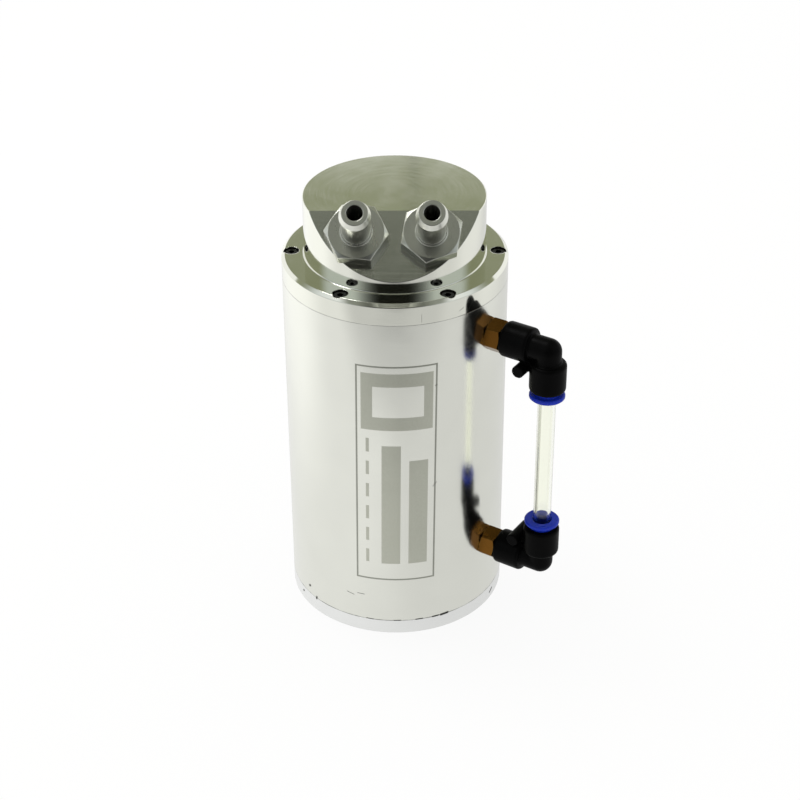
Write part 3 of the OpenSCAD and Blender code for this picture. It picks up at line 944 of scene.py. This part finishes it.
@dataclass(frozen=True)
class Room:
    """The room that metal mirrors: its brightness from the horizon to the zenith on each side.

    Each stop is an elevation in degrees with the colour there. The shade is the dim part in front: its half
    width is a tangent, its top is in degrees. The rear starts between two shares of the way to the back.
    """

    rear: tuple[tuple[float, str], ...] = (
        (0.0, "#FFFFFF"),
        (23.5, "#FFFFFF"),
        (24.4, "#A2A691"),
        (25.4, "#94987F"),
        (28.0, "#8D9179"),
        (45.0, "#8A8C7A"),
        (62.0, "#7E8076"),
        (90.0, "#6E7069"),
    )
    front: tuple[tuple[float, str], ...] = (
        (0.0, "#A9AFAF"),
        (30.0, "#C8CED0"),
        (42.0, "#E6EAEC"),
        (48.5, "#F6F8FA"),
        (52.5, "#84887F"),
        (57.8, "#989B92"),
        (60.0, "#C4C6BC"),
        (61.2, "#B8BAB0"),
        (62.2, "#4E514A"),
        (64.6, "#494C45"),
        (66.5, "#6C6F66"),
        (68.0, "#84877E"),
        (90.0, "#6E7069"),
    )
    shade: str = "#11120E"
    shade_half: Point = (0.3, 1.45)
    shade_top: Point = (58.5, 59.9)
    rear_from: Point = (0.0, 0.35)
    least_ahead: float = 0.001

    def side(
        self, tree: bpy.types.NodeTree, rise: bpy.types.Node, stops: tuple[tuple[float, str], ...]
    ) -> bpy.types.Node:
        """Make one side's colours from the direction's elevation.

        Args:
            tree: The world's node tree.
            rise: The node with the elevation as a share of a right angle.
            stops: That side's stops.

        Returns:
            The node with the colour.
        """
        made = add_node(tree, "ShaderNodeValToRGB", inputs={0: rise})
        elements = made.color_ramp.elements
        while len(elements) < len(stops):
            elements.new(1.0)
        for element, (degrees, code) in zip(elements, stops):
            element.position = degrees / RIGHT_ANGLE
            element.color = linear(code)
        return made

    def colour(self, tree: bpy.types.NodeTree) -> bpy.types.NodeSocket:
        """Build the nodes for the whole room.

        Args:
            tree: The world's node tree.

        Returns:
            The socket with the room's colour.
        """
        coords = add_node(tree, "ShaderNodeTexCoord")
        xyz = add_node(tree, "ShaderNodeSeparateXYZ", inputs={0: coords.outputs["Generated"]})
        x, y, z = xyz.outputs
        angle = add_node(tree, "ShaderNodeMath", {"operation": "ARCSINE"}, {0: z})
        rise = add_node(
            tree, "ShaderNodeMath", {"operation": "DIVIDE", "use_clamp": True}, {0: angle, 1: math.pi / 2}
        )
        start, end = self.rear_from
        back = add_node(tree, "ShaderNodeMapRange", SOFT, {0: y, 1: start, 2: end})
        sides = add_node(
            tree,
            "ShaderNodeMix",
            {"data_type": "RGBA"},
            {"Factor": back, "A": self.side(tree, rise, self.front), "B": self.side(tree, rise, self.rear)},
        )
        # The dim part of the room before the table
        forward = add_node(tree, "ShaderNodeMath", {"operation": "MULTIPLY"}, {0: y, 1: -1.0})
        ahead = add_node(
            tree, "ShaderNodeMath", {"operation": "MAXIMUM"}, {0: forward, 1: self.least_ahead}
        )
        aside = add_node(tree, "ShaderNodeMath", {"operation": "ABSOLUTE"}, {0: x})
        lean = add_node(tree, "ShaderNodeMath", {"operation": "DIVIDE"}, {0: aside, 1: ahead})
        near, far = self.shade_half
        across = add_node(tree, "ShaderNodeMapRange", SOFT, {0: lean, 1: near, 2: far, 3: 1.0, 4: 0.0})
        low, high = [degrees / RIGHT_ANGLE for degrees in self.shade_top]
        below = add_node(tree, "ShaderNodeMapRange", SOFT, {0: rise, 1: low, 2: high, 3: 1.0, 4: 0.0})
        shade = add_node(tree, "ShaderNodeMath", {"operation": "MULTIPLY"}, {0: across, 1: below})
        return add_node(
            tree,
            "ShaderNodeMix",
            {"data_type": "RGBA"},
            {"Factor": shade, "A": sides.outputs["Result"], "B": linear(self.shade)},
        ).outputs["Result"]


@dataclass(frozen=True)
class Sheet:
    """The white sheet under the can, as its metal mirrors it, with painted shade: duller near the can, to the
    right and in front, and dark in a wedge past its front edge.

    Places are in metres from the can's axis, and shares are of white. A gain is where it starts, where it
    is full, and its share. The wedge in front is bounded by the ratio of the places across and ahead.
    """

    left: float = 0.88
    right: float = 0.745
    middle: Point = (-0.05, 0.03)
    left_gain: Triple = (-0.05, -0.22, 0.24)
    right_gain: Triple = (0.17, 0.28, 0.15)
    gain_rear: Point = (-0.11, 0.05)
    front: float = 0.63
    front_at: Point = (-0.150, -0.215)
    # Painted shade past the sheet's front edge, within the wedge
    edge: float = 0.14
    edge_at: Point = (-0.262, -0.292)
    wedge: Point = (0.12, 0.75)

    def strength(self, tree: bpy.types.NodeTree) -> bpy.types.Node:
        """Build the nodes for the sheet's brightness.

        Args:
            tree: The paper's node tree.

        Returns:
            The node with the brightness.
        """
        coords = add_node(tree, "ShaderNodeTexCoord")
        xyz = add_node(tree, "ShaderNodeSeparateXYZ", inputs={0: coords.outputs["Object"]})
        x, y, _ = xyz.outputs
        # Painted shade of the sheet: dimmer near the can and to the right, dimmer in front
        start, end = self.middle
        lit = add_node(
            tree, "ShaderNodeMapRange", SOFT, {0: x, 1: start, 2: end, 3: self.left, 4: self.right}
        )
        start, end = self.gain_rear
        rearward = add_node(tree, "ShaderNodeMapRange", SOFT, {0: y, 1: start, 2: end})
        for start, end, gain in (self.left_gain, self.right_gain):
            sideways = add_node(tree, "ShaderNodeMapRange", SOFT, {0: x, 1: start, 2: end, 3: 0.0, 4: gain})
            lit = add_node(
                tree, "ShaderNodeMath", {"operation": "MULTIPLY_ADD"}, {0: sideways, 1: rearward, 2: lit}
            )
        start, end = self.front_at
        near = add_node(tree, "ShaderNodeMapRange", SOFT, {0: y, 1: start, 2: end})
        dull = add_node(
            tree, "ShaderNodeMix", {"data_type": "FLOAT"}, {"Factor": near, "A": lit, "B": self.front}
        )
        start, end = self.edge_at
        past = add_node(tree, "ShaderNodeMapRange", SOFT, {0: y, 1: start, 2: end})
        lean = add_node(tree, "ShaderNodeMath", {"operation": "DIVIDE"}, {0: x, 1: y})
        aside = add_node(tree, "ShaderNodeMath", {"operation": "ABSOLUTE"}, {0: lean})
        start, end = self.wedge
        wedge = add_node(tree, "ShaderNodeMapRange", SOFT, {0: aside, 1: start, 2: end, 3: 1.0, 4: 0.0})
        beyond = add_node(tree, "ShaderNodeMath", {"operation": "MULTIPLY"}, {0: past, 1: wedge})
        return add_node(
            tree, "ShaderNodeMix", {"data_type": "FLOAT"}, {"Factor": beyond, "A": dull, "B": self.edge}
        )


@dataclass
class Studio:
    """A white table in a room whose sides and front the metal mirrors."""

    room: Room = field(default_factory=Room)
    sheet: Sheet = field(default_factory=Sheet)
    table_mm: float = 6000.0
    paper: str = "#FAFAF8"
    paper_glow: float = 0.9
    daylight: str = "#F2F2F0"
    lamp_at: Triple = (-500.0, 300.0, 1300.0)
    lamp_aim: Triple = (0.0, 0.0, 70.0)
    lamp_mm: float = 500.0
    lamp_watts: float = 4.0

    def build(self) -> None:
        """Make the table, the world and the lamp."""
        self.table()
        self.world()
        self.lamp()

    def table(self) -> None:
        """Make the white table, which still shows the can's shadow."""
        half = self.table_mm / 2 * MM
        mesh = bpy.data.meshes.new("table")
        corners = [(-half, -half, 0.0), (half, -half, 0.0), (half, half, 0.0), (-half, half, 0.0)]
        mesh.from_pydata(corners, [], [range(len(corners))])
        table = bpy.data.objects.new("table", mesh)
        bpy.context.scene.collection.objects.link(table)
        # Matt paper: white for the eye and through the clear tube, shaded where metal mirrors it
        made = new_material("white_paper")
        tree = made.node_tree
        path = add_node(tree, "ShaderNodeLightPath")
        paper = add_node(tree, "ShaderNodeBsdfDiffuse", inputs={"Color": linear(self.paper)})
        mirrored = add_node(tree, "ShaderNodeEmission", inputs={"Strength": self.sheet.strength(tree)})
        plain = add_node(
            tree, "ShaderNodeMixShader", inputs={0: path.outputs["Is Glossy Ray"], 1: paper, 2: mirrored}
        )
        white = add_node(tree, "ShaderNodeEmission", inputs={"Strength": 1.0})
        glow = add_node(
            tree,
            "ShaderNodeMath",
            {"operation": "MULTIPLY"},
            {0: path.outputs["Is Camera Ray"], 1: self.paper_glow},
        )
        share = add_node(
            tree,
            "ShaderNodeMath",
            {"operation": "MAXIMUM"},
            {0: glow, 1: path.outputs["Is Transmission Ray"]},
        )
        whole = add_node(tree, "ShaderNodeMixShader", inputs={0: share, 1: plain, 2: white})
        add_node(tree, "ShaderNodeOutputMaterial", inputs={"Surface": whole})
        table.data.materials.append(made)

    def world(self) -> None:
        """Make the surroundings: white for the eye, plain daylight, and the room for the metal."""
        world = bpy.data.worlds.new("studio")
        bpy.context.scene.world = world
        world.use_nodes = True
        tree = world.node_tree
        tree.nodes.clear()
        path = add_node(tree, "ShaderNodeLightPath")
        seen = add_node(
            tree,
            "ShaderNodeMath",
            {"operation": "MAXIMUM"},
            {0: path.outputs["Is Camera Ray"], 1: path.outputs["Is Transmission Ray"]},
        )
        light = add_node(
            tree,
            "ShaderNodeMix",
            {"data_type": "RGBA"},
            {
                "Factor": path.outputs["Is Glossy Ray"],
                "A": linear(self.daylight),
                "B": self.room.colour(tree),
            },
        )
        colour = add_node(
            tree,
            "ShaderNodeMix",
            {"data_type": "RGBA"},
            {"Factor": seen, "A": light.outputs["Result"], "B": (1.0, 1.0, 1.0, 1.0)},
        )
        sky = add_node(
            tree, "ShaderNodeBackground", inputs={"Color": colour.outputs["Result"], "Strength": 1.0}
        )
        add_node(tree, "ShaderNodeOutputWorld", inputs={"Surface": sky})

    def lamp(self) -> None:
        """Hang one large soft lamp above the left of the table."""
        data = bpy.data.lights.new("soft_box", "AREA")
        data.shape, data.size, data.energy = "SQUARE", self.lamp_mm * MM, self.lamp_watts
        lamp = bpy.data.objects.new("soft_box", data)
        lamp.location = Vector(self.lamp_at) * MM
        way = Vector(self.lamp_aim) * MM - lamp.location
        lamp.rotation_euler = way.to_track_quat("-Z", "Y").to_euler()
        bpy.context.scene.collection.objects.link(lamp)


@dataclass
class PhotoCamera:
    """The photograph's camera, fitted to the can's outlines."""

    eye_mm: Triple = (6.416, -553.572, 417.751)
    turn: float = 0.516
    down: float = 31.926
    roll: float = -0.323
    lens_mm: float = 84.71
    sensor_mm: float = 36.0
    clip: Point = (0.01, 20.0)

    def build(self) -> None:
        """Make the camera and the picture's plain colour rendering."""
        data = bpy.data.cameras.new("photo_camera")
        data.lens, data.sensor_width = self.lens_mm, self.sensor_mm
        data.clip_start, data.clip_end = self.clip
        camera = bpy.data.objects.new("photo_camera", data)
        spin = Matrix.Rotation(math.radians(self.turn), 4, "Z")
        tilt = Matrix.Rotation(math.radians(RIGHT_ANGLE - self.down), 4, "X")
        roll = Matrix.Rotation(math.radians(self.roll), 4, "Z")
        camera.matrix_world = Matrix.Translation(Vector(self.eye_mm) * MM) @ spin @ tilt @ roll
        bpy.context.scene.collection.objects.link(camera)
        bpy.context.scene.camera = camera
        bpy.context.scene.view_settings.view_transform = "Standard"


# Wear read from the photograph, as places on the can's wall

BASE_MARKS = (
    Mark(MarkKind.GRIME_AND_SHADE, (-1.2, 5.7), (2.4, 5.75), 0.35),
    Mark(MarkKind.GRIME_AND_SHADE, (10.6, 5.7), (14.2, 5.75), 0.45),
    Mark(MarkKind.GRIME_AND_SHADE, (19.8, 5.65), (23.2, 5.7), 0.6),
    Mark(MarkKind.GRIME_AND_SHADE, (24.6, 5.6), (28.6, 5.75), 0.9),
    Mark(MarkKind.GRIME_AND_SHADE, (-16.0, 5.75), (-12.2, 5.7), 0.3),
    Mark(MarkKind.GRIME_AND_SHADE, (62.4, 2.6), (65.2, 3.4), 0.7),
    Mark(MarkKind.SCRATCH, (-62.6, 3.4), (-61.8, 3.7), 0.8),
    Mark(MarkKind.SCRATCH, (-49.0, 5.3), (-48.6, 6.2), 0.8),
)
TUBE_MARKS = BASE_MARKS + (
    Mark(MarkKind.SCRATCH, (-55.2, 8.7), (-54.4, 9.1), 0.9),
    Mark(MarkKind.SCRATCH, (-26.9, 15.5), (-22.9, 14.9), 0.3, 0.8),
    Mark(MarkKind.SCRATCH, (-20.8, 16.0), (-17.0, 16.0), 0.3, 0.8),
    Mark(MarkKind.SCRATCH, (20.6, 100.2), (21.6, 100.4), 0.3, 0.8),
    Mark(MarkKind.SCRATCH, (19.6, 61.0), (21.6, 62.4), 0.3, 0.7),
)
LID_MARKS = (
    Mark(MarkKind.SCRATCH, (13.5, 127.2), (13.5, 124.4), 0.22, 0.35),
    Mark(MarkKind.SCRATCH, (33.6, 125.6), (36.2, 126.4), 0.22, 0.5),
)
BASE_SEAM = Seam(5.68)
LID_SEAM = Seam(123.6, 0.1, 0.6, 0.25)


def main() -> None:
    """Load the frame, build and dress each sub-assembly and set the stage."""
    logging.basicConfig(level=logging.INFO, format="%(name)s %(message)s")
    for thing in list(bpy.data.objects):
        bpy.data.objects.remove(thing)
    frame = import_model()
    nodes = frame["nodes"]
    bpy.context.view_layer.update()

    # Nitrile rubber, moulded: matt black
    rubber = MouldedFinish("moulded_nitrile_rubber", "#1B1B1A", 0.6)
    # Vulcanised fibre, punched: dull red-brown
    fibre = MouldedFinish("punched_vulcanised_fibre", "#7A3B22", 0.8)
    # Stainless steel, cold headed: bright grey with soft gloss
    steel = MetalFinish("cold_headed_stainless_steel", "#A9A9A6", 0.22, pitch_mm=0.2, edge_mm=0.08)
    # Alloy steel, black oxide: nearly black, with edges rubbed bright for wear and as painted glints
    black = MetalFinish(
        "black_oxide_steel", "#2B2C29", 0.28, tone_spread=0.2, pitch_mm=0.2, edge_mm=0.12, worn_and_glint="#9A9B96"
    )

    CanBody(
        # Aluminium tube, turned and polished: a bright wall that mirrors softly
        tube=MetalFinish(
            "turned_aluminium_tube",
            "#F0F1E8",
            0.16,
            marks=TUBE_MARKS,
            seams=(BASE_SEAM, LID_SEAM),
            panel=EtchedPanel(),
        ),
        # Aluminium plate, turned: the same wall, with grime in its seam
        base=MetalFinish(
            "turned_aluminium_plate",
            "#F9FAF8",
            0.18,
            edge_mm=0.2,
            marks=BASE_MARKS,
            seams=(BASE_SEAM,),
            # Painted shade on the counterbores' walls
            pits=ScrewPits(),
        ),
        screws=black,
        plug=steel,
    ).dress(nodes, rubber, fibre)
    Head(
        # Aluminium billet, turned, milled and polished: clear mirror images
        lid=MetalFinish(
            "polished_aluminium_billet",
            "#EEEFE4",
            0.07,
            edge_mm=0.3,
            marks=LID_MARKS,
            seams=(LID_SEAM,),
            # Painted shade on the counterbores' walls
            pits=ScrewPits(),
            milled=(0.0, -0.686, 0.7276),
        ),
        # Aluminium bar, turned on a lathe: bright, with fine rings
        barbs=MetalFinish("lathe_turned_aluminium", "#E8E9DF", 0.28, pitch_mm=0.25, edge_mm=0.4),
        screws=black,
    ).dress(nodes, rubber)
    SightGauge(
        # Free-cutting brass, turned from hexagon bar: tarnished brown, with rubbed edges lighter for wear and
        # as painted highlights
        brass=MetalFinish(
            "turned_brass", "#7C5421", 0.18, tone_spread=0.35, relief_mm=0.0001, edge_mm=0.2, worn_and_glint="#B08A48"
        ),
        # Glass-filled nylon, moulded: black with a low sheen
        nylon=MouldedFinish("moulded_black_nylon", "#040404", 0.36, sheen_level=0.04),
        # Acetal, moulded: deep blue that lets a little light in
        blue=MouldedFinish("moulded_blue_acetal", "#122A9C", 0.34, sheen_level=0.2, glow=0.15),
        # Polyurethane tubing, extruded: clear, with faint lines along it
        clear=ClearFinish("extruded_clear_tubing", "#FAFBF3", 0.02),
        steel=steel,
    ).build(nodes, rubber)

    Studio().build()
    PhotoCamera().build()
    LOG.info("sizes written")


if __name__ == "__main__":
    main()
